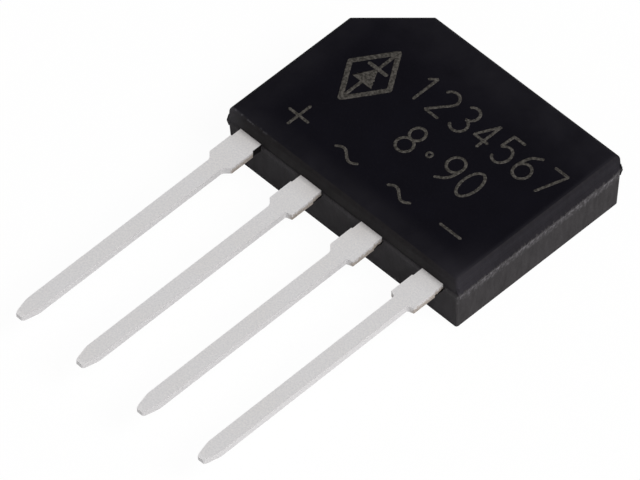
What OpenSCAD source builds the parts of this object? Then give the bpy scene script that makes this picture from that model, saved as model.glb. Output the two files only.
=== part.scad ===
// Single in-line bridge rectifier with four diodes in a moulded case.
// The origin is the centre of the case's back face, on which the part lies,
// with its marked face up. The leads run towards -Y, from + at -X to - at +X,
// and their upper faces lie in the parting plane of the mould.
// The modules are drawn with the case's front at y = 0, and seated() moves them.

/* [Case] */
// Width of the case across the leads, at the parting plane
case_w = 14.4; // [14.2:0.05:16]
// Height of the case along the leads, at the parting plane
case_h = 10.4; // [10.1:0.05:12]
// Thickness of the case from its back face to its marked face
case_t = 3.35; // [3:0.05:4]
// Leg of the cut corner that marks the + lead
corner_cut = 2.75; // [1:0.05:3.2]
// Height of the parting plane above the back face
parting_z = 2.5; // [2.1:0.05:2.6]
// Draft of the moulded side walls, in degrees
draft = 2.5; // [1:0.5:6]
// Radius of the case's upright edges
upright_r = 0.12; // [0.05:0.01:0.3]
// Radius round the marked face
face_edge_r = 0.3; // [0.1:0.01:0.35]
// Radius round the back face
back_edge_r = 0.04; // [0.02:0.01:0.25]
// How far the moulding flash stands out of the left and right sides
flash_side_w = 0.12; // [0.02:0.01:0.15]
// How far the moulding flash stands out of the front and back
flash_end_w = 0.02; // [0.01:0.01:0.1]
// Thickness of the moulding flash, below the parting plane
flash_t = 0.12; // [0.02:0.01:0.2]
// Height over which the flash tapers into the wall below it
flash_run = 0.3; // [0.05:0.05:0.5]
// Diameter of the ejector marks on the back face
ejector_d = 1.6; // [1:0.1:2.4]
// Depth of the ejector marks
ejector_depth = 0.05; // [0.02:0.01:0.12]
// Distance between the two ejector marks
ejector_spacing = 8.6; // [5:0.1:10]

/* [Leads] */
// Distance between the centres of neighbouring leads
lead_pitch = 3.81; // [3.7:0.01:3.95]
// Thickness of the lead frame
lead_t = 0.36; // [0.3:0.01:0.5]
// Length of the leads, from the case to the tip
lead_len = 14.45; // [6:0.05:20]
// Width of the thin leg that goes into the circuit board
lead_w = 0.8; // [0.6:0.01:1]
// Width of the lead where it leaves the case
neck_w = 1.3; // [1.1:0.01:1.38]
// Length of that neck outside the case
neck_out = 0.55; // [0.2:0.05:1]
// Width of the stub where the dam bar was sheared off
stub_w = 1.42; // [1.4:0.01:1.8]
// Length of the stub
stub_len = 1.35; // [0.8:0.05:3]
// Length of the shoulder from the stub to the thin leg
shoulder_len = 0.3; // [0.15:0.05:1]
// Length over which the neck widens to the stub
dam_step = 0.03; // [0.01:0.01:0.1]
// Radius of the corners of that step
dam_r = 0.02; // [0.01:0.005:0.03]
// Radius of the shoulder's outer corner
shoulder_outer_r = 0.1; // [0.02:0.01:0.15]
// Radius of the shoulder's inner corner
shoulder_inner_r = 0.28; // [0.05:0.01:0.35]
// Length of the taper at the tip
tip_len = 0.85; // [0.4:0.05:1.5]
// Width of the lead's end
tip_w = 0.37; // [0.2:0.01:0.5]
// Radius where the taper starts
taper_r = 1.2; // [0.2:0.1:2]
// Radius of the end's two corners
tip_corner_r = 0.06; // [0.02:0.01:0.1]
// Thickness of the coined end
tip_t = 0.22; // [0.1:0.01:0.28]
// Length of the coined bevel at the end
coin_len = 0.14; // [0.05:0.01:0.4]

/* [Lead frame inside the case] */
// Cover of epoxy over the edges of the pads at the back and at the cut corner
cover = 0.8; // [0.6:0.05:0.9]
// Length of the necks inside the case, from its front to the pads
neck_in = 0.9; // [0.6:0.05:1.1]
// Gap between neighbouring pads
pad_gap = 0.5; // [0.35:0.05:0.55]
// Bare pad left round each die
die_margin = 0.4; // [0.1:0.05:0.45]
// Width of the - pad's arm between the two rows of dies
minus_arm_w = 1.2; // [1.15:0.05:1.4]
// Radius of the pads' corners
pad_r = 0.2; // [0.05:0.01:0.3]
// Radius between the necks and the pads
neck_r = 0.25; // [0.05:0.01:0.4]
// Diameter of the holes through which the epoxy locks the pads
lock_d = 0.9; // [0.5:0.05:1.2]

/* [Dies] */
// Side of the square diode die
die_w = 1.4; // [1.2:0.05:1.5]
// Thickness of the die
die_t = 0.3; // [0.2:0.01:0.4]
// Thickness of the die's straight lower part
die_base_t = 0.15; // [0.05:0.01:0.18]
// Side of the die's upper face, inside the passivated slope
mesa_w = 1.12; // [1:0.01:1.15]
// Thickness of the solder layers
solder_t = 0.05; // [0.03:0.01:0.1]
// How far the solder spreads round a joint
solder_lip = 0.08; // [0.02:0.01:0.1]

/* [Clips] */
// Width of the jumper clips
clip_w = 1; // [0.9:0.05:1.05]
// Thickness of the clips
clip_t = 0.25; // [0.15:0.01:0.3]
// Gap between clips that lie side by side
clip_lane_gap = 0.5; // [0.3:0.05:0.55]
// Diameter of the clip's boss on the die
boss_d = 0.8; // [0.6:0.05:0.9]
// Height of the boss
boss_t = 0.08; // [0.04:0.01:0.15]
// Length of the clip past the centre of the boss
clip_end = 0.55; // [0.5:0.05:0.65]
// Length of the clip's foot
foot_len = 0.9; // [0.6:0.05:1]
// Slope of the clip between the die and the foot, in degrees
clip_slope = 40; // [25:1:60]

/* [Hidden] */
$fn = 48;
// Steps in which an outline's rounded corner and a moulded edge are drawn
corner_steps = 5;
edge_steps = 5;
branches = [1, 2, 3, 4];

epoxy_colour = "#1c1d21";
tin_colour = "#c9c8c6";
copper_colour = "#b9754c";
silicon_colour = "#5d6470";
solder_colour = "#a9abad";

// X of the four leads, in the order + ~ ~ -
lead_x = [for (i = [-1.5 : 1.5]) i * lead_pitch];
plus_x = lead_x[0];
minus_x = lead_x[3];

// The pads: the AC pads lie between the columns of the + and - pads
ac_pad_w = lead_pitch - pad_gap;
column_x0 = lead_pitch + pad_gap / 2;
column_x1 = minus_x + neck_w / 2;
pads_y0 = neck_in;
pads_y1 = case_h - cover;
plus_arm_y0 = pads_y1 - die_w - 2 * die_margin;
minus_arm_y1 = plus_arm_y0 - pad_gap;
minus_arm_y0 = minus_arm_y1 - minus_arm_w;
ac_pad_y1 = minus_arm_y0 - pad_gap;
pad_cut_x = corner_cut - cover * (2 - sqrt(2)) - (case_w / 2 - cover);
lead_z = parting_z - lead_t;

// The branches: 1 and 2 lie on the + pad's arm and feed the AC pads' clips,
// 3 and 4 lie on the AC pads and return to the - pad's arm
lane_x = (clip_w + clip_lane_gap) / 2;
back_die_y = pads_y1 - die_margin - die_w / 2;
front_die_y = pads_y0 + die_margin + die_w / 2;
back_foot_y = ac_pad_y1 - solder_lip - foot_len / 2;
front_foot_y = minus_arm_y0 + minus_arm_w / 2;
branch_x = [lead_x[1] - lane_x, lead_x[2] - lane_x, lead_x[1] + lane_x, lead_x[2] + lane_x];
branch_die_y = [back_die_y, back_die_y, front_die_y, front_die_y];
branch_foot_y = [back_foot_y, back_foot_y, front_foot_y, front_foot_y];
plus_arm_x1 = branch_x[1] + die_w / 2 + die_margin;
minus_arm_x0 = branch_x[2] - clip_w / 2 - die_margin;

// Depths of each layer's faces below the pads, from the pad downwards
die_depth = solder_t;
boss_solder_depth = die_depth + die_t;
boss_depth = boss_solder_depth + solder_t;
clip_depth = boss_depth + boss_t;

// ---- Outlines -----------------------------------------------------------

function unit(v) = v / norm(v);
function turned(v, angle) = [v.x * cos(angle) - v.y * sin(angle), v.x * sin(angle) + v.y * cos(angle)];

// Points of the arc of radius r that rounds corner p between its two neighbours
function corner(before, p, after, r) =
    let (
        a = unit(before - p),
        b = unit(after - p),
        half = acos(a * b) / 2,
        start = p + a * r / tan(half),
        centre = p + unit(a + b) * r / sin(half),
        side = cross(a, b) > 0 ? -1 : 1,
        sweep = side * (180 - 2 * half)
    )
    [for (s = [0 : corner_steps]) centre + turned(start - centre, sweep * s / corner_steps)];

// Outline through the given [x, y, radius] corners, each rounded to its radius
function rounded(corners) =
    let (n = len(corners), points = [for (c = corners) [c.x, c.y]])
    [for (i = [0 : n - 1]) each corner(points[(i + n - 1) % n], points[i], points[(i + 1) % n], corners[i].z)];

// Outline of the case, moved in by inset on every side, with its left and right
// sides moved out by widen. The cut corner's leg shrinks by 2 - sqrt(2) of the
// inset, which keeps the cut parallel, and grows by widen, which keeps its line.
function case_outline(inset, widen = 0) =
    let (
        x = case_w / 2 - inset + widen,
        y0 = inset,
        y1 = case_h - inset,
        leg = corner_cut - inset * (2 - sqrt(2)) + widen,
        r = upright_r
    )
    rounded([[-x, y0, r], [x, y0, r], [x, y1, r], [leg - x, y1, r], [-x, y1 - leg, r]]);

// Edge of a lead outside its pad, from the case to the tip, on side -1 or 1
function lead_edge(x, side) = [
    [x + side * neck_w / 2, -neck_out, dam_r],
    [x + side * stub_w / 2, -neck_out - dam_step, dam_r],
    [x + side * stub_w / 2, -neck_out - stub_len, shoulder_outer_r],
    [x + side * lead_w / 2, -neck_out - stub_len - shoulder_len, shoulder_inner_r],
    [x + side * lead_w / 2, tip_len - lead_len, taper_r],
    [x + side * tip_w / 2, -lead_len, tip_corner_r]
];

function reversed(list) = [for (i = [len(list) - 1 : -1 : 0]) list[i]];

// Outline of a lead outside its pad: down its left edge and up its right edge
function leg(x) = concat(lead_edge(x, -1), reversed(lead_edge(x, 1)));

// ---- Shapes used by several pieces --------------------------------------

// Closed solid through outlines of equal length, given as [z, outline], lowest first
module loft(sections) {
    n = len(sections[0][1]);
    last = len(sections) - 1;
    walls = [
        for (k = [0 : last - 1], i = [0 : n - 1])
            let (j = (i + 1) % n)
            [k * n + i, (k + 1) * n + i, (k + 1) * n + j, k * n + j]
    ];
    polyhedron(
        points = [for (s = sections) each [for (p = s[1]) [p.x, p.y, s[0]]]],
        faces = concat([[for (i = [0 : n - 1]) i]], walls, [[for (i = [n - 1 : -1 : 0]) last * n + i]])
    );
}

function rectangle(w, l) = [[-w / 2, -l / 2], [w / 2, -l / 2], [w / 2, l / 2], [-w / 2, l / 2]];

// ---- Case ---------------------------------------------------------------

// Inset of the drafted wall at height z
function wall_inset(z) = abs(z - parting_z) * tan(draft);

// Moulded body: rounded back edge, drafted wall, flash, wall, rounded face edge
module case_body() {
    flash_outline = case_outline(-flash_end_w, flash_side_w - flash_end_w);
    flash_z0 = parting_z - flash_t - flash_run;
    loft(concat(
        [
            for (a = [0 : 90 / edge_steps : 90])
                let (z = back_edge_r * (1 - cos(a)))
                [z, case_outline(wall_inset(z) + back_edge_r * (1 - sin(a)))]
        ],
        [
            [flash_z0, case_outline(wall_inset(flash_z0))],
            [parting_z - flash_t, flash_outline],
            [parting_z, flash_outline],
            [parting_z, case_outline(0)]
        ],
        [
            for (a = [90 : -90 / edge_steps : 0])
                let (z = case_t - face_edge_r * (1 - cos(a)))
                [z, case_outline(wall_inset(z) + face_edge_r * (1 - sin(a)))]
        ]
    ));
}

module ejector_marks() {
    for (side = [-1, 1])
        translate([side * ejector_spacing / 2, case_h / 2, -ejector_depth])
            cylinder(d = ejector_d, h = 2 * ejector_depth);
}

// The epoxy fills every space round the embedded pieces, so it is cut by them
module case() {
    color(epoxy_colour)
        difference() {
            case_body();
            ejector_marks();
            for (i = [0 : 3]) lead(i);
            for (k = branches) {
                die(k);
                clip(k);
                pad_solder(k);
                boss_solder(k);
                foot_solder(k);
            }
        }
}

// ---- Leads --------------------------------------------------------------

// + lead: its pad is a column beside the leads, cut like the case, and an arm
// along the back. The column's outer edge runs on from the neck's outer edge.
function plus_lead() = concat(
    leg(plus_x),
    [
        [plus_x + neck_w / 2, pads_y0, neck_r],
        [-column_x0, pads_y0, pad_r],
        [-column_x0, plus_arm_y0, pad_r],
        [plus_arm_x1, plus_arm_y0, pad_r],
        [plus_arm_x1, pads_y1, pad_r],
        [pad_cut_x, pads_y1, pad_r],
        [-column_x1, pads_y1 - pad_cut_x - column_x1, pad_r]
    ]
);

// AC lead: its pad is centred on it
function ac_lead(x) = concat(
    [[x - ac_pad_w / 2, pads_y0, pad_r], [x - neck_w / 2, pads_y0, neck_r]],
    leg(x),
    [
        [x + neck_w / 2, pads_y0, neck_r],
        [x + ac_pad_w / 2, pads_y0, pad_r],
        [x + ac_pad_w / 2, ac_pad_y1, pad_r],
        [x - ac_pad_w / 2, ac_pad_y1, pad_r]
    ]
);

// - lead: its pad is a column on the far side, and an arm between the rows of dies
function minus_lead() = concat(
    [[column_x0, pads_y0, pad_r], [minus_x - neck_w / 2, pads_y0, neck_r]],
    leg(minus_x),
    [
        [column_x1, pads_y1, pad_r],
        [column_x0, pads_y1, pad_r],
        [column_x0, minus_arm_y1, pad_r],
        [minus_arm_x0, minus_arm_y1, pad_r],
        [minus_arm_x0, minus_arm_y0, pad_r],
        [column_x0, minus_arm_y0, pad_r]
    ]
);

lead_outlines = [plus_lead(), ac_lead(lead_x[1]), ac_lead(lead_x[2]), minus_lead()];

// Holes through the two columns, which the epoxy fills and so locks the pads
module lock_holes() {
    for (side = [-1, 1])
        translate([side * (column_x0 + column_x1) / 2, (pads_y0 + ac_pad_y1) / 2])
            circle(d = lock_d);
}

// Side view of the lead frame, which tapers in thickness at the coined tip
module coined_profile() {
    bevel = (lead_t - tip_t) / 2;
    polygon([
        [pads_y1, 0],
        [pads_y1, lead_t],
        [coin_len - lead_len, lead_t],
        [-lead_len, lead_t - bevel],
        [-lead_len, bevel],
        [coin_len - lead_len, 0]
    ]);
}

// Lead number i, stamped from sheet with its pad and coined at the tip
module lead(i) {
    color(tin_colour)
        translate([0, 0, lead_z])
            intersection() {
                linear_extrude(lead_t)
                    difference() {
                        polygon(rounded(lead_outlines[i]));
                        lock_holes();
                    }
                translate([-case_w, 0, 0])
                    rotate([90, 0, 90])
                        linear_extrude(2 * case_w)
                            coined_profile();
            }
}

// ---- Branches: die, clip and solder -------------------------------------

// Places a piece on the die of branch k, with z = 0 at the pad and z downwards
module at_die(k) {
    translate([branch_x[k - 1], branch_die_y[k - 1], lead_z])
        mirror([0, 0, 1])
            children();
}

// Turns a piece so that +Y points from the die of branch k to its foot
module towards_foot(k) {
    rotate([0, 0, branch_foot_y[k - 1] < branch_die_y[k - 1] ? 180 : 0])
        children();
}

// Distance from the die's centre to the middle of the clip's foot
function clip_span(k) = abs(branch_foot_y[k - 1] - branch_die_y[k - 1]);

// Square die with a straight base and a passivated slope up to its mesa
module die(k) {
    color(silicon_colour)
        at_die(k)
            translate([0, 0, die_depth])
                loft([
                    [0, rectangle(die_w, die_w)],
                    [die_base_t, rectangle(die_w, die_w)],
                    [die_t, rectangle(mesa_w, mesa_w)]
                ]);
}

// Clip: flat over the die, sloped back to the pad's level, and a flat foot.
// The lower side's bends lie a mitre further along than the upper side's.
module clip(k) {
    rise = clip_depth - solder_t;
    foot_y0 = clip_span(k) - foot_len / 2;
    bend_y = foot_y0 - rise / tan(clip_slope);
    mitre = clip_t * tan(clip_slope / 2);
    color(copper_colour)
        at_die(k)
            towards_foot(k) {
                translate([-clip_w / 2, 0, 0])
                    rotate([90, 0, 90])
                        linear_extrude(clip_w)
                            polygon([
                                [-clip_end, clip_depth],
                                [bend_y, clip_depth],
                                [foot_y0, solder_t],
                                [foot_y0 + foot_len, solder_t],
                                [foot_y0 + foot_len, solder_t + clip_t],
                                [foot_y0 + mitre, solder_t + clip_t],
                                [bend_y + mitre, clip_depth + clip_t],
                                [-clip_end, clip_depth + clip_t]
                            ]);
                translate([0, 0, boss_depth])
                    cylinder(d = boss_d, h = boss_t + clip_t / 2);
            }
}

// Solder under the die, spread out on the pad
module pad_solder(k) {
    spread = die_w + 2 * solder_lip;
    color(solder_colour)
        at_die(k)
            loft([[0, rectangle(spread, spread)], [solder_t, rectangle(die_w, die_w)]]);
}

// Solder between the mesa and the clip's boss
module boss_solder(k) {
    color(solder_colour)
        at_die(k)
            translate([0, 0, boss_solder_depth])
                cylinder(d1 = boss_d + 2 * solder_lip, d2 = boss_d, h = solder_t);
}

// Solder between the clip's foot and the pad
module foot_solder(k) {
    spread = 2 * solder_lip;
    color(solder_colour)
        at_die(k)
            towards_foot(k)
                translate([0, clip_span(k), 0])
                    loft([
                        [0, rectangle(clip_w + spread, foot_len + spread)],
                        [solder_t, rectangle(clip_w, foot_len)]
                    ]);
}

// ---- Part ---------------------------------------------------------------

// Moves a piece so that the middle of the case lies at y = 0
module seated() {
    translate([0, -case_h / 2, 0])
        children();
}

seated() case();
seated() lead(0);  // lead_plus
seated() lead(1);  // lead_ac_1
seated() lead(2);  // lead_ac_2
seated() lead(3);  // lead_minus
for (k = branches) {
    seated() die(k);
    seated() clip(k);
    seated() pad_solder(k);
    seated() boss_solder(k);
    seated() foot_solder(k);
}
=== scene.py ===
"""The looks of an in-line bridge rectifier: its leads, the parts moulded inside, case and marks."""
import math

import bmesh
import bpy
import numpy as np
from mathutils import Matrix, Vector


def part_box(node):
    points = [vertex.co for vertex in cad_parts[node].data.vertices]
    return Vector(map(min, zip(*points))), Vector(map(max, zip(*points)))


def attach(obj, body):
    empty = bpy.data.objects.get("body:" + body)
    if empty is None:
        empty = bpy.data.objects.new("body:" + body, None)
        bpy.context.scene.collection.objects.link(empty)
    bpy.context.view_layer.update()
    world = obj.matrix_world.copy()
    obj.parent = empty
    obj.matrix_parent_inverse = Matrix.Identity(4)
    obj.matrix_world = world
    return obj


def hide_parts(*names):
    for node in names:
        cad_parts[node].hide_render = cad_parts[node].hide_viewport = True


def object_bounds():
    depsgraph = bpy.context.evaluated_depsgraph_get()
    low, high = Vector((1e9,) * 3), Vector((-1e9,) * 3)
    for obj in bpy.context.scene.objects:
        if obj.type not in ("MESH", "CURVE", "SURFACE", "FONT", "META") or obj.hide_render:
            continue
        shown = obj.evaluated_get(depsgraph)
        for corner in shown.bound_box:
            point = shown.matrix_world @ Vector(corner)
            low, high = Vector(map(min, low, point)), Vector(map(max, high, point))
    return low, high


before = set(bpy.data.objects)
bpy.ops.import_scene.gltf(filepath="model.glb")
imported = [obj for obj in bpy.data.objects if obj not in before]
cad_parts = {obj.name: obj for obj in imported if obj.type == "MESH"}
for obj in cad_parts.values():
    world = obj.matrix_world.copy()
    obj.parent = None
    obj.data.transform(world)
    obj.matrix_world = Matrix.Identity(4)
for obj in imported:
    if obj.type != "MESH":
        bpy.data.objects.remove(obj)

cad_box = [list(corner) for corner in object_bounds()]


# --- Camera -------------------------------------------------------------------------------
# A copy-stand view from above the front right corner of the case, half a metre away through
# a long lens, so that the sides of the part stay nearly parallel.
MM = 0.001
view_azimuth = math.radians(45.82)
view_elevation = math.radians(50.09)
view_roll = math.radians(-0.66)
view_distance = 523.05 * MM
lens_mm = 664.7
looked_at = Vector((0.209, -6.747, 1.638)) * MM

towards_camera = Vector((
    math.sin(view_azimuth) * math.cos(view_elevation),
    -math.cos(view_azimuth) * math.cos(view_elevation),
    math.sin(view_elevation),
))
level_right = Vector((math.cos(view_azimuth), math.sin(view_azimuth), 0.0))
level_up = towards_camera.cross(level_right)
camera_right = math.cos(view_roll) * level_right + math.sin(view_roll) * level_up
camera_up = towards_camera.cross(camera_right)


def into_scene(name, data):
    """An object made of the data, linked into the scene."""
    placed = bpy.data.objects.new(name, data)
    bpy.context.scene.collection.objects.link(placed)
    return placed


camera_data = bpy.data.cameras.new("copy_stand_camera")
camera_data.lens = lens_mm
camera_data.sensor_width = 36.0
camera_data.clip_start = 0.01
camera_data.clip_end = 20.0
camera = into_scene("copy_stand_camera", camera_data)
turn = Matrix((camera_right, camera_up, towards_camera)).transposed().to_4x4()
camera.matrix_world = Matrix.Translation(looked_at + towards_camera * view_distance) @ turn
bpy.context.scene.camera = camera
bpy.context.scene.view_settings.view_transform = "Standard"


# --- Studio -------------------------------------------------------------------------------
# A white table under a white tent. One soft lamp stands at the right and behind, and a black
# card hangs over the back left, so that the flat black face has nothing bright to mirror.
def linear(hex_colour):
    """An sRGB hex colour as linear red, green, blue and alpha.

    Each channel c goes to c / 12.92 up to 0.04045, and to ((c + 0.055) / 1.055) ^ 2.4 above it.
    """
    channels = np.array([int(hex_colour[i:i + 2], 16) for i in (1, 3, 5)]) / 255.0
    straight = channels / 12.92
    curved = ((channels + 0.055) / 1.055) ** 2.4
    return (*np.where(channels <= 0.04045, straight, curved).tolist(), 1.0)


def add(tree, kind, inputs=None, **settings):
    """Adds one node. inputs maps a socket's name or number to a value, or to a socket to link."""
    node = tree.nodes.new(kind)
    for name, value in settings.items():
        setattr(node, name, value)
    for socket, value in (inputs or {}).items():
        if isinstance(value, bpy.types.NodeSocket):
            tree.links.new(value, node.inputs[socket])
        else:
            node.inputs[socket].default_value = value
    return node


def empty_material(name):
    """A new material with an empty node tree, and that tree."""
    material = bpy.data.materials.new(name)
    material.use_nodes = True
    material.node_tree.nodes.clear()
    return material, material.node_tree


# The camera sees the tent at full white, and the part is lit by it at half that strength.
card_direction = (-0.45, 0.45, 0.77)
tent_strength = 0.5
world = bpy.data.worlds.new("white_tent")
bpy.context.scene.world = world
world.use_nodes = True
tent = world.node_tree
tent.nodes.clear()
sky = add(tent, "ShaderNodeTexCoord")
facing_card = add(tent, "ShaderNodeVectorMath",
                  {0: sky.outputs["Generated"], 1: card_direction}, operation="DOT_PRODUCT")
card_edge = add(tent, "ShaderNodeMapRange",
                {"Value": facing_card.outputs["Value"], "From Min": 0.45, "From Max": 0.85},
                interpolation_type="SMOOTHSTEP")
tent_colour = add(tent, "ShaderNodeMix",
                  {0: card_edge.outputs["Result"], 6: linear("#ffffff"), 7: linear("#2c2c30")},
                  data_type="RGBA")
ray = add(tent, "ShaderNodeLightPath")
seen = add(tent, "ShaderNodeMath",
           {0: ray.outputs["Is Camera Ray"], 1: ray.outputs["Is Transmission Ray"]},
           operation="MAXIMUM")
tent_light = add(tent, "ShaderNodeBackground",
                 {"Color": tent_colour.outputs[2], "Strength": tent_strength})
tent_white = add(tent, "ShaderNodeBackground", {"Color": linear("#ffffff"), "Strength": 1.0})
tent_mix = add(tent, "ShaderNodeMixShader",
               {0: seen.outputs[0], 1: tent_light.outputs[0], 2: tent_white.outputs[0]})
add(tent, "ShaderNodeOutputWorld", {"Surface": tent_mix.outputs[0]})

lamp_data = bpy.data.lights.new("soft_lamp", "AREA")
lamp_data.shape = "DISK"
lamp_data.size = 0.55
lamp_data.energy = 9.2
lamp_data.color = (1.0, 0.985, 0.965)
lamp = into_scene("soft_lamp", lamp_data)
lamp.location = (0.66, 0.1, 0.74)
lamp.rotation_euler = Vector(lamp.location).to_track_quat("Z", "Y").to_euler()

table_radius = 3.0
table_gap = 0.02 * MM
table_mesh = bpy.data.meshes.new("table_top")
table_shape = bmesh.new()
bmesh.ops.create_circle(table_shape, cap_ends=True, segments=64, radius=table_radius)
table_shape.to_mesh(table_mesh)
table_shape.free()
table_top = into_scene("table_top", table_mesh)
table_top.location.z = cad_box[0][2] - table_gap

# White table laminate: the eye sees plain white with the part's soft shadow on it. The camera
# sees it mostly glow, and a mirror image a little, so that no more light falls on the part.
seen_glow = 0.96
mirrored_glow = 0.25
white_laminate, tree = empty_material("white_table_laminate")
place = add(tree, "ShaderNodeTexCoord")
mottle = add(tree, "ShaderNodeTexNoise",
             {"Vector": place.outputs["Object"], "Scale": 9.0, "Detail": 3.0})
laminate_colour = add(tree, "ShaderNodeMix",
                      {0: mottle.outputs["Fac"], 6: linear("#fbfbfb"), 7: linear("#fefefd")},
                      data_type="RGBA")
laminate = add(tree, "ShaderNodeBsdfDiffuse", {"Color": laminate_colour.outputs[2]})
glow = add(tree, "ShaderNodeEmission", {"Color": linear("#ffffff"), "Strength": 1.0})
ray = add(tree, "ShaderNodeLightPath")
mirrored = add(tree, "ShaderNodeMath",
               {0: ray.outputs["Is Glossy Ray"], 1: ray.outputs["Is Transmission Ray"]},
               operation="MAXIMUM")
mirrored_share = add(tree, "ShaderNodeMath", {0: mirrored.outputs[0], 1: mirrored_glow},
                     operation="MULTIPLY")
camera_share = add(tree, "ShaderNodeMath", {0: ray.outputs["Is Camera Ray"], 1: seen_glow},
                   operation="MULTIPLY")
white_share = add(tree, "ShaderNodeMath",
                  {0: mirrored_share.outputs[0], 1: camera_share.outputs[0]},
                  operation="MAXIMUM")
laminate_mix = add(tree, "ShaderNodeMixShader",
                   {0: white_share.outputs[0], 1: laminate.outputs[0], 2: glow.outputs[0]})
add(tree, "ShaderNodeOutputMaterial", {"Surface": laminate_mix.outputs[0]})
table_mesh.materials.append(white_laminate)


# --- Leads --------------------------------------------------------------------------------
# Four flat copper leads stamped from one strip, 0.36 mm thick. They were tinned after moulding
# and cut apart last, so the cut sides of the wide stubs show some bare copper.
case_low, case_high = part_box("case")
parting_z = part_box("lead_plus")[1][2]
front_mm = case_low[1] / MM
parting_mm = parting_z / MM


def millimetres(tree):
    """Two outputs in the piece's own axes: the place in millimetres, and the surface's normal."""
    place = add(tree, "ShaderNodeTexCoord")
    mm_place = add(tree, "ShaderNodeVectorMath", {0: place.outputs["Object"], 1: (1 / MM,) * 3},
                   operation="MULTIPLY")
    return mm_place.outputs[0], place.outputs["Normal"]


# Matte electroplated tin: pale, soft grey, slightly mottled, browner and darker close to the case.
# Tin crystals are a few thousandths of a millimetre; the grain is drawn at 0.08 mm to show.
crystals_per_mm = 12.0
matte_tin, tree = empty_material("matte_tin_on_copper")
mm_place, normal = millimetres(tree)
axes = add(tree, "ShaderNodeSeparateXYZ", {0: mm_place})
facing = add(tree, "ShaderNodeSeparateXYZ", {0: normal})
crystals = add(tree, "ShaderNodeTexNoise",
               {"Vector": mm_place, "Scale": crystals_per_mm, "Detail": 4.0, "Roughness": 0.7})
drift = add(tree, "ShaderNodeTexNoise", {"Vector": mm_place, "Scale": 0.45, "Detail": 2.0})
tin_drift = add(tree, "ShaderNodeMix",
                {0: drift.outputs["Fac"], 6: linear("#f3f3f6"), 7: linear("#f2efec")},
                data_type="RGBA")
crystal_share = add(tree, "ShaderNodeMapRange",
                    {"Value": crystals.outputs["Fac"], "From Min": 0.35, "From Max": 0.65})
tin = add(tree, "ShaderNodeMix",
          {0: crystal_share.outputs["Result"], 6: linear("#e2e2e5"), 7: tin_drift.outputs[2]},
          data_type="RGBA")
# Within a millimetre of the case the tin is mixed towards a darker brown, in patches.
near_case_share = add(tree, "ShaderNodeMapRange",
              {"Value": axes.outputs["Y"], "From Min": front_mm - 1.0,
               "From Max": front_mm + 0.05, "To Max": 0.42})
near_case_mottle = add(tree, "ShaderNodeMath",
                  {0: near_case_share.outputs["Result"], 1: drift.outputs["Fac"]},
                  operation="MULTIPLY")
tin_near_case = add(tree, "ShaderNodeMix",
             {0: near_case_mottle.outputs[0], 6: tin.outputs[2], 7: linear("#a09389")},
             data_type="RGBA")
# The sides of the leads are painted a darker grey than the top: partly the duller sheared tin,
# partly painted shade on the sides.
level = add(tree, "ShaderNodeMath", {0: facing.outputs["Z"]}, operation="ABSOLUTE")
side_mask = add(tree, "ShaderNodeMapRange",
                {"Value": level.outputs[0], "From Min": 0.9, "From Max": 0.6})
sides_sheared_and_shaded = add(tree, "ShaderNodeMix",
              {0: side_mask.outputs["Result"], 6: tin_near_case.outputs[2], 7: linear("#c8c7c9")},
              data_type="RGBA")

# The cut sides of the wide stubs show torn copper below a bright rim of tin.
stub_band = add(tree, "ShaderNodeMapRange",
                {"Value": axes.outputs["Y"], "From Min": front_mm - 1.95,
                 "From Max": front_mm - 1.88})
rim = add(tree, "ShaderNodeMath",
          {0: axes.outputs["Z"], 1: crystals.outputs["Fac"]}, operation="SUBTRACT")
torn = add(tree, "ShaderNodeMapRange",
           {"Value": rim.outputs[0], "From Min": parting_mm - 0.66, "From Max": parting_mm - 0.57,
            "To Min": 1.0, "To Max": 0.0})
cut_side = add(tree, "ShaderNodeMath",
               {0: side_mask.outputs["Result"], 1: stub_band.outputs["Result"]},
               operation="MULTIPLY")
cut_share = add(tree, "ShaderNodeMath",
                {0: cut_side.outputs[0], 1: torn.outputs["Result"]}, operation="MULTIPLY")
cut_colour = add(tree, "ShaderNodeMix",
                 {0: crystal_share.outputs["Result"], 6: linear("#756b63"),
                  7: linear("#b4aca5")}, data_type="RGBA")
cut = add(tree, "ShaderNodeMix",
          {0: cut_share.outputs[0], 6: sides_sheared_and_shaded.outputs[2], 7: cut_colour.outputs[2]},
          data_type="RGBA")
inside = add(tree, "ShaderNodeMapRange",
             {"Value": axes.outputs["Y"], "From Min": front_mm + 0.02,
              "From Max": front_mm + 0.1})
lead_colour = add(tree, "ShaderNodeMix",
                  {0: inside.outputs["Result"], 6: cut.outputs[2], 7: linear("#8a6a56")},
                  data_type="RGBA")
lead_dullness = add(tree, "ShaderNodeMapRange",
                    {"Value": crystals.outputs["Fac"], "From Min": 0.3, "From Max": 0.7,
                     "To Min": 0.5, "To Max": 0.66})
crystal_bump = add(tree, "ShaderNodeBump",
                   {"Strength": 0.25, "Distance": 0.01 * MM, "Height": crystals.outputs["Fac"]})
tin_surface = add(tree, "ShaderNodeBsdfPrincipled",
                  {"Base Color": lead_colour.outputs[2],
                   "Roughness": lead_dullness.outputs["Result"], "Metallic": 0.28,
                   "Normal": crystal_bump.outputs[0]})
add(tree, "ShaderNodeOutputMaterial", {"Surface": tin_surface.outputs[0]})


def dress(node_name, material):
    """Gives a CAD node one material in place of what it came with."""
    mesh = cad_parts[node_name].data
    mesh.materials.clear()
    mesh.materials.append(material)


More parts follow.
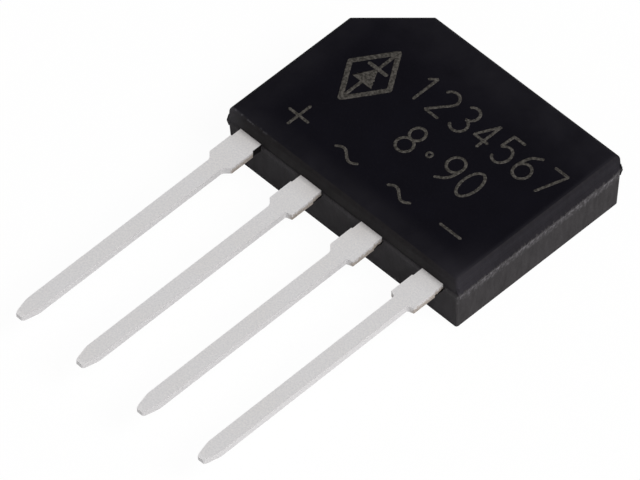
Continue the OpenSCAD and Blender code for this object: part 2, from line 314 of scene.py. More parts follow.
def merged_copy(node_name, name, flatten=False):
    """A copy of a CAD node's mesh with its loose triangles joined, and its points as an array.

    flatten also joins neighbouring triangles that lie in one plane, to half a degree.
    """
    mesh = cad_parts[node_name].data.copy()
    mesh.name = name
    shape = bmesh.new()
    shape.from_mesh(mesh)
    bmesh.ops.remove_doubles(shape, verts=shape.verts, dist=1e-7)
    if flatten:
        bmesh.ops.dissolve_limit(shape, angle_limit=math.radians(0.5), verts=shape.verts,
                                 edges=shape.edges)
    shape.to_mesh(mesh)
    shape.free()
    mesh.attributes.remove(mesh.attributes["custom_normal"])
    points = np.empty(3 * len(mesh.vertices), np.float32)
    mesh.vertices.foreach_get("co", points)
    return mesh, points.reshape(-1, 3).astype(float)


def assemble(name, mesh):
    """A piece of the part made of the mesh. It rides on the body."""
    piece = into_scene(name, mesh)
    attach(piece, "root")
    return piece


# The leads lean to the right by a small share of their length, and their tips are a little short.
# The punch left some shoulders of the stubs squarer: those to the right of the middle of the lead
# and its pad, so both on the minus lead, the right one on each AC lead and none on the plus lead.
stub_end_y = case_low[1] - 1.87 * MM
shoulder_gap = 0.3 * MM
shoulder_len = 0.7 * MM
shoulder_share = 0.35
leg_len = 11.5 * MM
tip_short = 0.05 * MM
lean = 0.007
for node_name in ("lead_plus", "lead_ac_1", "lead_ac_2", "lead_minus"):
    dress(node_name, matte_tin)
    mesh, points = merged_copy(node_name, "tinned_" + node_name, flatten=True)
    middle_x = 0.5 * sum(corner[0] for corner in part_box(node_name))
    out = stub_end_y - points[:, 1]
    to_right = points[:, 0] > middle_x + shoulder_gap
    shoulder = to_right & (out > 0.0) & (out < shoulder_len)
    points[shoulder, 1] = stub_end_y - shoulder_share * out[shoulder]
    points[out > leg_len, 1] += tip_short
    points[:, 0] += lean * np.maximum(case_low[1] - points[:, 1], 0.0)
    mesh.vertices.foreach_set("co", points.astype(np.float32).ravel())
    mesh.shade_flat()
    piece = assemble("tinned_" + node_name, mesh)
    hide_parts(node_name)


# --- Dies ---------------------------------------------------------------------------------
# Four glass-passivated silicon dies, sawn from a wafer with an etched mesa, so that each
# stands as a low step on its base. Both flat faces carry a thin nickel film for the solder.

# Silicon and nickel: dark blue-grey sawn sides round a pale, satin metal film.
silicon, tree = empty_material("nickelled_silicon")
mm_place, normal = millimetres(tree)
facing = add(tree, "ShaderNodeSeparateXYZ", {0: normal})
flat_face = add(tree, "ShaderNodeMath", {0: facing.outputs["Z"]}, operation="ABSOLUTE")
film = add(tree, "ShaderNodeMapRange",
           {"Value": flat_face.outputs[0], "From Min": 0.8, "From Max": 0.95})
saw_lines = add(tree, "ShaderNodeTexNoise", {"Vector": mm_place, "Scale": 9.0, "Detail": 3.0})
sawn = add(tree, "ShaderNodeMix",
           {0: saw_lines.outputs["Fac"], 6: linear("#3f444d"), 7: linear("#5a606b")},
           data_type="RGBA")
die_colour = add(tree, "ShaderNodeMix",
                 {0: film.outputs["Result"], 6: sawn.outputs[2], 7: linear("#b9b6ae")},
                 data_type="RGBA")
die_dullness = add(tree, "ShaderNodeMapRange",
                   {"Value": saw_lines.outputs["Fac"], "To Min": 0.25, "To Max": 0.5})
die_surface = add(tree, "ShaderNodeBsdfPrincipled",
                  {"Base Color": die_colour.outputs[2], "Metallic": 0.8,
                   "Roughness": die_dullness.outputs["Result"]})
add(tree, "ShaderNodeOutputMaterial", {"Surface": die_surface.outputs[0]})
for k in range(4):
    dress("die_%d" % (k + 1), silicon)


# --- Clips --------------------------------------------------------------------------------
# Four stamped copper clips bridge from the top of each die to its lead frame pad. They are
# cut from rolled strip and bent down at one end.

# Rolled copper: warm orange-brown with fine rolling lines along the strip. The lines are 0.04 mm
# wide and about half a millimetre long, as on the real strip.
lines_per_mm = (25.0, 1.8, 25.0)
rolled_copper, tree = empty_material("rolled_bare_copper")
mm_place, normal = millimetres(tree)
roll_place = add(tree, "ShaderNodeVectorMath", {0: mm_place, 1: lines_per_mm},
                 operation="MULTIPLY")
roll_lines = add(tree, "ShaderNodeTexNoise",
                 {"Vector": roll_place.outputs[0], "Scale": 1.0, "Detail": 3.0})
copper_colour = add(tree, "ShaderNodeMix",
                    {0: roll_lines.outputs["Fac"], 6: linear("#b5714f"),
                     7: linear("#d39470")}, data_type="RGBA")
copper_dullness = add(tree, "ShaderNodeMapRange",
                      {"Value": roll_lines.outputs["Fac"], "To Min": 0.28, "To Max": 0.5})
copper_bump = add(tree, "ShaderNodeBump",
                  {"Strength": 0.2, "Distance": 0.004 * MM, "Height": roll_lines.outputs["Fac"]})
copper_surface = add(tree, "ShaderNodeBsdfPrincipled",
                     {"Base Color": copper_colour.outputs[2], "Metallic": 1.0,
                      "Roughness": copper_dullness.outputs["Result"],
                      "Normal": copper_bump.outputs[0]})
add(tree, "ShaderNodeOutputMaterial", {"Surface": copper_surface.outputs[0]})
for k in range(4):
    dress("clip_%d" % (k + 1), rolled_copper)


# --- Solder joints ------------------------------------------------------------------------
# Twelve thin joints of high-lead solder: under each die, on each die under the clip's boss,
# and under each clip's foot. They were melted in a belt furnace before the moulding.

# Reflowed lead-tin solder: dull bluish grey, slightly wavy where it froze.
furnace_solder, tree = empty_material("reflowed_lead_solder")
mm_place, normal = millimetres(tree)
frozen = add(tree, "ShaderNodeTexNoise", {"Vector": mm_place, "Scale": 4.0, "Detail": 3.0})
solder_colour = add(tree, "ShaderNodeMix",
                    {0: frozen.outputs["Fac"], 6: linear("#8b8f95"), 7: linear("#a9adb2")},
                    data_type="RGBA")
solder_dullness = add(tree, "ShaderNodeMapRange",
                      {"Value": frozen.outputs["Fac"], "To Min": 0.35, "To Max": 0.6})
solder_bump = add(tree, "ShaderNodeBump",
                  {"Strength": 0.3, "Distance": 0.01 * MM, "Height": frozen.outputs["Fac"]})
solder_surface = add(tree, "ShaderNodeBsdfPrincipled",
                     {"Base Color": solder_colour.outputs[2], "Metallic": 1.0,
                      "Roughness": solder_dullness.outputs["Result"],
                      "Normal": solder_bump.outputs[0]})
add(tree, "ShaderNodeOutputMaterial", {"Surface": solder_surface.outputs[0]})
for joint in ("pad_solder", "boss_solder", "foot_solder"):
    for k in range(4):
        dress("%s_%d" % (joint, k + 1), furnace_solder)


# --- Case ---------------------------------------------------------------------------------
# The case is one transfer moulding of black silica-filled epoxy, shot round the leads between
# two mould halves that meet level with the top of the leads. Its corner is cut at the "+" end.
face_z = case_high[2]
face_mm = face_z / MM
left_mm = case_low[0] / MM
right_mm = case_high[0] / MM
back_mm = case_high[1] / MM

# Moulded epoxy: near-black with a violet cast, dull, with pale filler grain. Below the parting
# line the walls are painted greyer, a painted reflection of the white table, with a pale band
# chipped under the line, and the marked face is painted a little paler along its edges: painted
# sheen.
# Silica grain is 0.02 to 0.07 mm in the real filler; it is drawn at 0.09 mm so that it shows.
grains_per_mm = 11.0
black_epoxy, tree = empty_material("moulded_black_epoxy")
mm_place, normal = millimetres(tree)
axes = add(tree, "ShaderNodeSeparateXYZ", {0: mm_place})
facing = add(tree, "ShaderNodeSeparateXYZ", {0: normal})
grain = add(tree, "ShaderNodeTexNoise",
            {"Vector": mm_place, "Scale": grains_per_mm, "Detail": 3.0, "Roughness": 0.7})
cloud = add(tree, "ShaderNodeTexNoise",
            {"Vector": mm_place, "Scale": 0.55, "Detail": 3.0, "Roughness": 0.6})
resin = add(tree, "ShaderNodeMix",
            {0: cloud.outputs["Fac"], 6: linear("#09080e"), 7: linear("#0f0e16")},
            data_type="RGBA")
grain_mask = add(tree, "ShaderNodeMapRange",
                 {"Value": grain.outputs["Fac"], "From Min": 0.56, "From Max": 0.8})
grained = add(tree, "ShaderNodeMix",
              {0: grain_mask.outputs["Result"], 6: resin.outputs[2], 7: linear("#16151b")},
              data_type="RGBA")
# The marked face is painted paler, in patches, towards its front, back and left edges: a painted
# sheen.
front_sheen = add(tree, "ShaderNodeMapRange",
                {"Value": axes.outputs["Y"], "From Min": front_mm + 0.3,
                 "From Max": front_mm + 1.5, "To Min": 1.0, "To Max": 0.0},
                interpolation_type="SMOOTHSTEP")
left_sheen = add(tree, "ShaderNodeMapRange",
               {"Value": axes.outputs["X"], "From Min": left_mm + 0.3,
                "From Max": left_mm + 2.2, "To Min": 0.9, "To Max": 0.0},
               interpolation_type="SMOOTHSTEP")
back_sheen = add(tree, "ShaderNodeMapRange",
               {"Value": axes.outputs["Y"], "From Min": back_mm - 3.6,
                "From Max": back_mm - 0.3},
               interpolation_type="SMOOTHSTEP")
end_sheen = add(tree, "ShaderNodeMath",
              {0: front_sheen.outputs["Result"], 1: back_sheen.outputs["Result"]},
              operation="MAXIMUM")
edge_sheen = add(tree, "ShaderNodeMath", {0: end_sheen.outputs[0], 1: left_sheen.outputs["Result"]},
               operation="MAXIMUM")
patchy = add(tree, "ShaderNodeMapRange",
             {"Value": cloud.outputs["Fac"], "From Min": 0.3, "From Max": 0.7,
              "To Min": 0.35, "To Max": 1.0})
sheen_share = add(tree, "ShaderNodeMath", {0: edge_sheen.outputs[0], 1: patchy.outputs["Result"]},
                operation="MULTIPLY")
face_with_painted_sheen = add(tree, "ShaderNodeMix",
             {0: sheen_share.outputs[0], 6: grained.outputs[2], 7: linear("#1c1b20")},
             data_type="RGBA")

# The drag marks of the mould run up the side; real ones are some hundredths of a millimetre
# wide, and they are drawn 0.3 mm wide so that they show.
drags_per_mm = (3.2, 3.2, 0.9)
drag_place = add(tree, "ShaderNodeVectorMath", {0: mm_place, 1: drags_per_mm},
                 operation="MULTIPLY")
drag = add(tree, "ShaderNodeTexNoise",
           {"Vector": drag_place.outputs[0], "Scale": 1.0, "Detail": 5.0, "Roughness": 0.7})
at_sides = add(tree, "ShaderNodeMath", {0: facing.outputs["X"]}, operation="ABSOLUTE")
# The wall colours hold painted light: the walls below the parting line, the lower sides most of
# all, are painted paler, a painted reflection of the white table under them.
wall_colours = {
    "lower side": ("#181618", "#403e40"), "lower end": ("#1b191b", "#333134"),
    "upper side": ("#121115", "#252329"), "upper end": ("#151314", "#282628"),
}
walls = {}
for wall, (dark, pale) in wall_colours.items():
    streaked = add(tree, "ShaderNodeMix",
                   {0: drag.outputs["Fac"], 6: linear(dark), 7: linear(pale)}, data_type="RGBA")
    walls[wall] = streaked.outputs[2]
upper_wall = add(tree, "ShaderNodeMix",
                 {0: at_sides.outputs[0], 6: walls["upper end"], 7: walls["upper side"]},
                 data_type="RGBA")
upright = add(tree, "ShaderNodeMath", {0: facing.outputs["Z"]}, operation="ABSOLUTE")
turned_out = add(tree, "ShaderNodeMapRange",
                 {"Value": upright.outputs[0], "From Min": 0.86, "From Max": 0.76})
on_flash = add(tree, "ShaderNodeMath", {0: axes.outputs["Z"], 1: parting_mm + 0.3},
               operation="LESS_THAN")
on_side = add(tree, "ShaderNodeMath", {0: turned_out.outputs["Result"], 1: on_flash.outputs[0]},
              operation="MAXIMUM")
upper_half = add(tree, "ShaderNodeMix",
                 {0: on_side.outputs[0], 6: face_with_painted_sheen.outputs[2], 7: upper_wall.outputs[2]},
                 data_type="RGBA")

# Under the parting line the side is chipped pale, because the flash was torn off there. The
# chips are a fifth of a millimetre, and lift and lower the band's edges by up to 0.13 mm.
chips_per_mm = (6.0, 6.0, 4.0)
chip_place = add(tree, "ShaderNodeVectorMath", {0: mm_place, 1: chips_per_mm},
                 operation="MULTIPLY")
chips = add(tree, "ShaderNodeTexNoise",
            {"Vector": chip_place.outputs[0], "Scale": 1.0, "Detail": 4.0, "Roughness": 0.65})
chip_lift = add(tree, "ShaderNodeMapRange",
                {"Value": chips.outputs["Fac"], "From Min": 0.3, "From Max": 0.7,
                 "To Min": -0.13, "To Max": 0.13})
side_lift = add(tree, "ShaderNodeMath",
                {0: chip_lift.outputs["Result"], 1: at_sides.outputs[0]}, operation="MULTIPLY")
band_z = add(tree, "ShaderNodeMath",
             {0: axes.outputs["Z"], 1: side_lift.outputs[0]}, operation="ADD")

# The front right corner is painted paler, a painted sheen. Handling rubbed the front wall paler
# at its left end, where the upper edge is nicked as well.
near_right = add(tree, "ShaderNodeMapRange",
                 {"Value": axes.outputs["Y"], "From Min": front_mm + 0.02,
                  "From Max": front_mm + 3.02, "To Min": 0.3, "To Max": 0.0})
right_end = add(tree, "ShaderNodeMapRange",
                {"Value": axes.outputs["X"], "From Min": right_mm - 1.72,
                 "From Max": right_mm - 0.22})
# A painted sheen: the face and upper walls turn paler towards the front right corner.
corner_sheen_share = add(tree, "ShaderNodeMath",
                  {0: near_right.outputs["Result"], 1: right_end.outputs["Result"]},
                  operation="MULTIPLY")
corner_sheen = add(tree, "ShaderNodeMix",
                 {0: corner_sheen_share.outputs[0], 6: upper_half.outputs[2], 7: linear("#3a383e")},
                 data_type="RGBA")
end_place = add(tree, "ShaderNodeMapRange",
                {"Value": axes.outputs["X"], "From Min": left_mm + 0.42,
                 "From Max": left_mm + 3.32, "To Min": 1.0, "To Max": 0.0})
at_edge = add(tree, "ShaderNodeMapRange",
              {"Value": axes.outputs["Z"], "From Min": face_mm - 0.13, "From Max": face_mm - 0.09})
nick_place = add(tree, "ShaderNodeMath",
                 {0: end_place.outputs["Result"], 1: at_edge.outputs["Result"]},
                 operation="MULTIPLY")
nick_chips = add(tree, "ShaderNodeMapRange",
                 {"Value": chips.outputs["Fac"], "From Min": 0.5, "From Max": 0.6})
nick_share = add(tree, "ShaderNodeMath",
                 {0: nick_place.outputs[0], 1: nick_chips.outputs["Result"]},
                 operation="MULTIPLY")
end_wear = add(tree, "ShaderNodeMapRange",
               {"Value": axes.outputs["X"], "From Min": left_mm + 0.32,
                "From Max": left_mm + 1.32, "To Min": 0.4, "To Max": 0.0})
worn_share = add(tree, "ShaderNodeMath",
                 {0: nick_share.outputs[0], 1: end_wear.outputs["Result"]},
                 operation="MAXIMUM")
at_front = add(tree, "ShaderNodeMapRange",
               {"Value": axes.outputs["Y"], "From Min": front_mm + 0.17,
                "From Max": front_mm + 0.24, "To Min": 1.0, "To Max": 0.0})
front_nicks = add(tree, "ShaderNodeMath",
                  {0: worn_share.outputs[0], 1: at_front.outputs["Result"]},
                  operation="MULTIPLY")
nicked = add(tree, "ShaderNodeMix",
             {0: front_nicks.outputs[0], 6: corner_sheen.outputs[2], 7: linear("#4a494e")},
             data_type="RGBA")

# Below the parting line the walls are painted greyer, a painted reflection of the white table,
# with the pale, chipped band right under the line.
below_parting = add(tree, "ShaderNodeMath",
                    {0: band_z.outputs[0], 1: parting_mm - 0.01}, operation="LESS_THAN")
lower_half = add(tree, "ShaderNodeMix",
                 {0: at_sides.outputs[0], 6: walls["lower end"], 7: walls["lower side"]},
                 data_type="RGBA")
halves = add(tree, "ShaderNodeMix",
             {0: below_parting.outputs[0], 6: nicked.outputs[2], 7: lower_half.outputs[2]},
             data_type="RGBA")

band_low = add(tree, "ShaderNodeMapRange",
               {"Value": band_z.outputs[0], "From Min": parting_mm - 0.8,
                "From Max": parting_mm - 0.32})
band_high = add(tree, "ShaderNodeMapRange",
                {"Value": band_z.outputs[0], "From Min": parting_mm - 0.16,
                 "From Max": parting_mm - 0.03, "To Min": 1.0, "To Max": 0.0})
band = add(tree, "ShaderNodeMath",
           {0: band_low.outputs["Result"], 1: band_high.outputs["Result"]},
           operation="MULTIPLY")
chipped = add(tree, "ShaderNodeMapRange",
              {"Value": chips.outputs["Fac"], "From Min": 0.43, "From Max": 0.64,
               "To Min": 0.12, "To Max": 1.0})
side_share = add(tree, "ShaderNodeMapRange",
                 {"Value": at_sides.outputs[0], "From Min": 0.3, "From Max": 0.8,
                  "To Min": 0.12, "To Max": 1.0})
band_chips = add(tree, "ShaderNodeMath", {0: band.outputs[0], 1: chipped.outputs["Result"]},
                 operation="MULTIPLY")
band_side = add(tree, "ShaderNodeMath",
                {0: band_chips.outputs[0], 1: side_share.outputs["Result"]},
                operation="MULTIPLY")
scuff = add(tree, "ShaderNodeMath", {0: band_side.outputs[0], 1: on_side.outputs[0]},
            operation="MULTIPLY")
scuffed = add(tree, "ShaderNodeMix",
              {0: scuff.outputs[0], 6: halves.outputs[2], 7: linear("#666468")},
              data_type="RGBA")

# What stands out past the front wall is resin round the necks of the leads, and stays black.
on_neck = add(tree, "ShaderNodeMath", {0: axes.outputs["Y"], 1: front_mm - 0.04},
              operation="LESS_THAN")
case_colour = add(tree, "ShaderNodeMix",
                  {0: on_neck.outputs[0], 6: scuffed.outputs[2], 7: linear("#0b090a")},
                  data_type="RGBA")
dullness = add(tree, "ShaderNodeMapRange",
               {"Value": grain.outputs["Fac"], "From Min": 0.3, "From Max": 0.7,
                "To Min": 0.62, "To Max": 0.7})
pits = add(tree, "ShaderNodeBump",
           {"Strength": 0.35, "Distance": 0.012 * MM, "Height": grain.outputs["Fac"]})
epoxy = add(tree, "ShaderNodeBsdfPrincipled",
            {"Base Color": case_colour.outputs[2], "Roughness": dullness.outputs["Result"],
             "Specular IOR Level": 0.08, "Normal": pits.outputs[0]})
add(tree, "ShaderNodeOutputMaterial", {"Surface": epoxy.outputs[0]})

dress("case", black_epoxy)

# The thin flash broke off short along the left side and at the back right corner.
flash_stub = 7.212 * MM
corner_start_y = 4.4 * MM
corner_share = 0.25
case_mesh, points = merged_copy("case", "moulded_case")
points[:, 0] = np.maximum(points[:, 0], -flash_stub)
corner = (points[:, 0] > flash_stub) & (points[:, 1] > corner_start_y)
points[corner, 0] = flash_stub + corner_share * (points[corner, 0] - flash_stub)
case_mesh.vertices.foreach_set("co", points.astype(np.float32).ravel())
moulded_case = assemble("moulded_case", case_mesh)
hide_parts("case")


# --- Parting flash ------------------------------------------------------------------------
# A ragged film of resin that bled between the mould halves and broke off unevenly. It is the
# same epoxy as the case, and stands at most a few hundredths of a millimetre out of its flash.
def new_piece(name, points, faces, material):
    """A piece of the part made of points and faces, with its doubles merged and faces outward."""
    mesh = bpy.data.meshes.new(name)
    mesh.from_pydata(points.tolist(), [], faces)
    shape = bmesh.new()
    shape.from_mesh(mesh)
    bmesh.ops.remove_doubles(shape, verts=shape.verts, dist=1e-8)
    bmesh.ops.recalc_face_normals(shape, faces=shape.faces)
    shape.to_mesh(mesh)
    shape.free()
    mesh.materials.append(material)
    return assemble(name, mesh)


def grid_faces(rows, columns, closed_rows):
    """The quads of a rows x columns grid of points whose columns join up, as do its rows if asked.

    Quad (i, j) has the corners i, j; i, j + 1; i + 1, j + 1 and i + 1, j, counted round.
    """
    i = np.arange(rows if closed_rows else rows - 1)[:, None]
    j = np.arange(columns)[None, :]
    next_i = (i + 1) % rows
    next_j = (j + 1) % columns
    corners = [i * columns + j, i * columns + next_j,
               next_i * columns + next_j, next_i * columns + j]
    return np.stack([np.broadcast_to(c, (len(i), columns)) for c in corners], -1).reshape(-1, 4)


def evenly(points, spacing, closed):
    """The polyline resampled, and how far along it each new point lies.

    Point k lies k equal steps from the start, and a step is as near to the spacing as fits.
    """
    if closed:
        points = np.vstack([points, points[:1]])
    reach = np.concatenate([[0.0], np.cumsum(np.linalg.norm(np.diff(points, axis=0), axis=1))])
    count = max(int(round(reach[-1] / spacing)), 6)
    along = np.linspace(0.0, reach[-1], count + 1)
    if closed:
        along = along[:-1]
    return np.stack([np.interp(along, reach, points[:, k]) for k in (0, 1)], -1), along


def sideways(points, closed):
    """Unit vectors square to the path: the direction of travel turned a quarter turn clockwise."""
    if closed:
        travel = np.roll(points, -1, axis=0) - np.roll(points, 1, axis=0)
    else:
        travel = np.gradient(points, axis=0)
    travel /= np.linalg.norm(travel, axis=1, keepdims=True)
    return np.stack([travel[:, 1], -travel[:, 0]], -1)


def ragged_curve(along, length, seed, low, high, count=26):
    """A ragged curve round a closed edge, about -1 to 1.

    It is the sum of sines that turn a whole number of times from low to high round the edge,
    each with its own start, over the square root of their count.
    """
    draw = np.random.default_rng(seed)
    turns = draw.integers(low, high, count)
    starts = draw.uniform(0, 2 * np.pi, count)
    waves = np.sin(2 * np.pi * along[:, None] / length * turns + starts)
    return waves.sum(1) / math.sqrt(count)


# The edge runs round the case's corners, with the cut one as the flash carries it outwards.
side_x = 7.2 * MM
corner_cut = 2.75 * MM
flash_width = case_high[0] - side_x
cut_reach = corner_cut + flash_width
outline = np.array([
    (case_low[0], case_low[1]), (case_high[0], case_low[1]), (case_high[0], case_high[1]),
    (case_low[0] + cut_reach, case_high[1]), (case_low[0], case_high[1] - cut_reach),
])
edge_step = 0.05 * MM
edge, along = evenly(outline, edge_step, closed=True)
outwards = sideways(edge, closed=True)
length = along[-1] + along[1]
fine = ragged_curve(along, length, 7, 60, 420)
coarse = ragged_curve(along, length, 8, 6, 40)
reach_out = (0.006 + 0.010 * fine + 0.008 * coarse) * MM
drop = (0.11 + 0.025 * fine + 0.03 * coarse) * MM

# The film is missing at the back right corner and where the four leads come out.
to_corner = np.hypot(edge[:, 0] - case_high[0], edge[:, 1] - case_high[1]) / (0.6 * MM)
reach_out -= 0.08 * MM * np.exp(-to_corner ** 4)
lead_pitch = 3.81 * MM
lead_places = (np.arange(4) - 1.5) * lead_pitch
to_lead = np.abs(edge[:, :1] - lead_places).min(1)
reach_out[(to_lead < 0.72 * MM) & (edge[:, 1] < 0)] = -0.09 * MM

# Each point of the edge carries a section of four points: the upper root in the case's side, the
# film's upper lip, its lower lip, which hangs lower by the drop, and the lower root.
root = np.array([0.14, 0.0, 0.0, 0.15]) * MM
reach_share = np.array([0.0, 1.0, 0.7, 0.0])
out = reach_share * reach_out[:, None] - root
broken = -flash_stub - 0.006 * MM * (1 + fine[:, None])
flat_x = np.maximum(edge[:, None, 0] + outwards[:, None, 0] * out, broken)
flat_y = edge[:, None, 1] + outwards[:, None, 1] * out
levels = parting_z + np.stack([
    np.full(len(edge), 0.24 * MM), 0.03 * MM - 0.3 * drop, -drop, -drop - 0.3 * MM], -1)
flash_points = np.stack([flat_x, flat_y, levels], -1).reshape(-1, 3)
flash_faces = grid_faces(len(edge), 4, True).tolist()
new_piece("parting_flash", flash_points, flash_faces, black_epoxy)

# Thin webs of resin that ran out along the necks of the leads, up to the stubs' dams. Each is a
# section of four points carried out along the neck, which narrows as it goes.
neck_half = 0.65 * MM
web_steps = 9
web_y = case_low[1] + np.linspace(0.06, -0.5, web_steps) * MM
web_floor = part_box("lead_ac_1")[0][2] - 0.01 * MM
fade = np.linspace(1.0, 0.0, web_steps)
web_points = []
web_faces = []
for k in range(4):
    for side in (-1, 1):
        draw = np.random.default_rng(30 + 2 * k + side)
        ragged = draw.uniform(-1, 1, web_steps)
        width = (0.018 + 0.07 * fade ** 1.5 + 0.008 * ragged) * MM
        sink = (0.012 if k == 0 and side == 1 else 0.3) * MM
        top = parting_z - sink * (1.15 - 0.3 * fade + 0.12 * ragged)
        inner = np.full(web_steps, -0.03 * MM)
        floor = np.full(web_steps, web_floor)
        across = np.stack([inner, width, 0.8 * width, inner], -1)
        heights = np.stack([top, top - 0.01 * MM, floor, floor], -1)
        flank = lead_places[k] + side * neck_half
        places = np.broadcast_to(web_y[:, None], across.shape)
        start = len(web_points) * 4 * web_steps
        web_points.append(np.stack([flank + side * across, places, heights], -1).reshape(-1, 3))
        last = 4 * (web_steps - 1)
        caps = np.array([[3, 2, 1, 0], [last, last + 1, last + 2, last + 3]])
        web_faces.append(np.vstack([grid_faces(web_steps, 4, False), caps]) + start)
new_piece("dam_flash", np.concatenate(web_points), np.concatenate(web_faces).tolist(),
          black_epoxy)


# --- Laser marks --------------------------------------------------------------------------
# The signs over the leads, two rows of plain numbers and the plain drawing sign of a bridge
# are burnt into the face by a laser, which leaves a pale, dull track of separate pulses.

# Burnt epoxy: brownish grey and matt, with a brighter spot at each laser pulse.
# The pulses are 0.05 mm apart on the real part; they are drawn 0.12 mm wide so that they show.
pulses_per_mm = 8.0
burnt_epoxy, tree = empty_material("laser_burnt_epoxy")
mm_place, normal = millimetres(tree)
pulses = add(tree, "ShaderNodeTexNoise",
             {"Vector": mm_place, "Scale": pulses_per_mm, "Detail": 3.0, "Roughness": 0.6})
pulse_mask = add(tree, "ShaderNodeMapRange",
                 {"Value": pulses.outputs["Fac"], "From Min": 0.4, "From Max": 0.64})
burnt_colour = add(tree, "ShaderNodeMix",
                   {0: pulse_mask.outputs["Result"], 6: linear("#2d2b28"),
                    7: linear("#55524e")}, data_type="RGBA")
soot = add(tree, "ShaderNodeBump",
           {"Strength": 0.4, "Distance": 0.01 * MM, "Height": pulses.outputs["Fac"]})
burnt = add(tree, "ShaderNodeBsdfPrincipled",
            {"Base Color": burnt_colour.outputs[2], "Roughness": 0.8,
             "Specular IOR Level": 0.2, "Normal": soot.outputs[0]})
add(tree, "ShaderNodeOutputMaterial", {"Surface": burnt.outputs[0]})


def arc(centre, radii, start, end, steps=24):
    """Points on an ellipse: the centre plus radii times the cosine and sine of an even angle."""
    angle = np.radians(np.linspace(start, end, steps))
    return np.array(centre) + np.array(radii) * np.stack([np.cos(angle), np.sin(angle)], -1)


# The points round a track, and the steps along it.
ring = 10
track_step = 0.045 * MM


def track(path, width, closed=False, blunt=False, lift=0.006, seed=0):
    """One laser track as a closed solid: a flat ellipse carried along a path in the face.

    A point is the path's point, plus sideways times half the width times cos(t), and the face's
    height plus the lift times sin(t). An open end is rounded: there the width is multiplied by
    the square root of 1 - (1 - distance to the end / half the width) squared. The width also
    flickers at random, by up to 7% a side.
    """
    spots, along = evenly(np.asarray(path, float) * MM, track_step, closed)
    half = np.interp(np.linspace(0, 1, len(spots)), np.linspace(0, 1, np.size(width)),
                     np.atleast_1d(width)) * MM / 2
    flicker = np.random.default_rng(seed).uniform(-1, 1, len(spots))
    half = half * (1 + 0.07 * (flicker + np.roll(flicker, 1)) / 2)
    if not closed and not blunt:
        to_end = np.minimum(along, along[-1] - along) / half
        half = half * np.sqrt(1 - (1 - np.clip(to_end, 0.0, 1.0)) ** 2)
    t = np.linspace(0, 2 * np.pi, ring, endpoint=False)
    flat = spots[:, None, :] + sideways(spots, closed)[:, None, :] * (
        half[:, None, None] * np.cos(t)[None, :, None])
    level = face_z + lift * MM * np.sin(t)
    heights = np.broadcast_to(level[None, :, None], (*flat.shape[:2], 1))
    points = np.concatenate([flat, heights], -1).reshape(-1, 3)
    return points, grid_faces(len(spots), ring, closed), closed


def burn(name, tracks):
    """One piece out of several laser tracks. The two end rings of an open track get caps."""
    faces = []
    start = 0
    for points, quads, closed in tracks:
        end = start + len(points)
        faces += (quads + start).tolist()
        if not closed:
            faces.append(list(range(start, start + ring))[::-1])
            faces.append(list(range(end - ring, end)))
        start = end
    all_points = np.concatenate([points for points, _, _ in tracks])
    piece = new_piece(name, all_points, faces, burnt_epoxy)
    piece.data.shade_smooth()


# Paths from here on are in millimetres. The wave is a height times a sine of x.
stroke = 0.15
sign_y = -3.33
wave_half = 0.77
wave_height = 0.21
wave_x = np.linspace(-wave_half, wave_half, 40)
wave = np.stack([wave_x, wave_height * np.sin(-wave_x / wave_half * np.pi * 1.02)], -1)
signs = [
    track([(-5.22, sign_y), (-3.92, sign_y)], stroke, seed=1),
    track([(-4.58, sign_y + 0.8), (-4.58, sign_y - 0.73)], stroke, lift=0.0065, seed=2),
    track(wave + (-1.44, sign_y - 0.12), stroke, seed=3),
    track(wave + (1.81, sign_y - 0.08), stroke, seed=4),
    track([(4.26, sign_y), (5.62, sign_y)], stroke, seed=5),
]
burn("polarity_signs", signs)

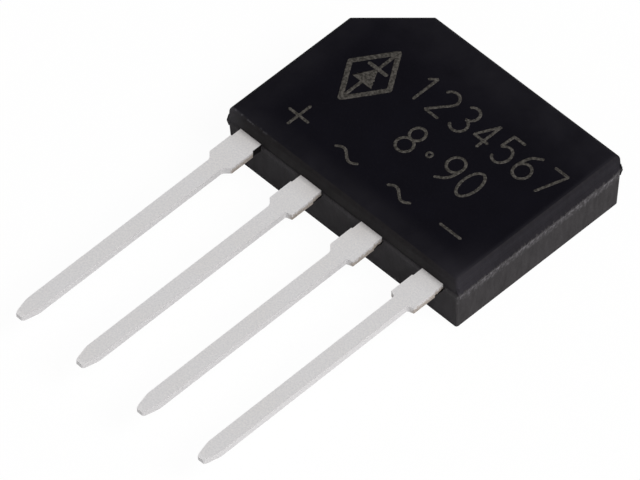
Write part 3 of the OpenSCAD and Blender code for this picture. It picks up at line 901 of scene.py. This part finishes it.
# Plain digits, each of one or two lines about its own middle. A digit reaches this far to each
# side, and this far up and down.
wide = 0.42
tall = 0.82
digits = {
    "1": [[(-0.25, 0.5), (0.1, tall), (0.1, -tall)]],
    "2": [np.vstack([arc((0, 0.4), (wide, 0.42), 165, -35), [(-wide, -tall), (wide, -tall)]])],
    "3": [np.vstack([arc((0, 0.42), (0.38, 0.4), 150, -90),
                     arc((0, -0.4), (wide, 0.42), 90, -155)])],
    "4": [[(0.16, -tall), (0.16, tall), (-wide, -0.32), (0.45, -0.32)]],
    "5": [np.vstack([[(0.38, tall), (-0.34, tall), (-0.38, 0.08)],
                     arc((0, -0.3), (wide, 0.52), 140, -150)])],
    "6": [arc((0, -0.36), (wide, 0.46), 180, 540, 37),
          np.vstack([[(0.26, tall)], arc((0.05, -0.36), (0.47, 1.0), 115, 180)])],
    "7": [[(-wide, tall), (wide, tall), (-0.12, -tall)]],
    "8": [arc((0, 0.42), (0.36, 0.4), -90, 270, 37), arc((0, -0.41), (wide, 0.42), 90, 450, 37)],
    "9": [arc((0, 0.36), (wide, 0.46), 0, 360, 37),
          np.vstack([arc((-0.05, 0.36), (0.47, 1.0), 0, -65), [(-0.26, -tall)]])],
    "0": [arc((0, 0), (wide, tall), 90, 450, 49)],
}
# The blank in the second row holds a small ring in place of a point.
digit_pitch = 1.302
number_rows = [
    ("1234567", [-1.77 + digit_pitch * k for k in range(7)], 1.73),
    ("8 90", [-0.04, 1.16, 2.42, 3.68], -0.80),
]
numbers = []
for text, places, row_y in number_rows:
    for digit, place_x in zip(text, places):
        for line in digits.get(digit, []):
            line = np.asarray(line, float)
            joined = bool(np.allclose(line[0], line[-1]))
            numbers.append(track((line[:-1] if joined else line) + (place_x, row_y), stroke,
                                 closed=joined, lift=0.006 + 0.0002 * (len(numbers) % 3),
                                 seed=10 + len(numbers)))
point_ring = arc((1.16, -0.85), (0.14, 0.15), 0, 345, 14)
numbers.append(track(point_ring, 0.11, closed=True, seed=40))
burn("plain_numbers", numbers)

# The drawing sign of a bridge: a diamond round a diode, which is a wedge and a bar on a wire.
sign_x = -4.0
middle_y = 0.55
diamond = [(0, 1.86), (1.24, 0), (0, -1.86), (-1.24, 0)]
symbol = [
    track(np.array(diamond) + (sign_x, middle_y), 0.26, closed=True, seed=50),
    track([(sign_x, middle_y + 1.8), (sign_x, middle_y - 1.8)], 0.17, lift=0.0055, seed=51),
    track([(sign_x, middle_y - 0.52), (sign_x, middle_y + 0.46)], (1.24, 0.12), blunt=True,
          lift=0.0062, seed=52),
    track([(sign_x - 0.62, middle_y + 0.52), (sign_x + 0.62, middle_y + 0.52)], 0.2,
          lift=0.0066, seed=53),
]
burn("bridge_drawing_sign", symbol)
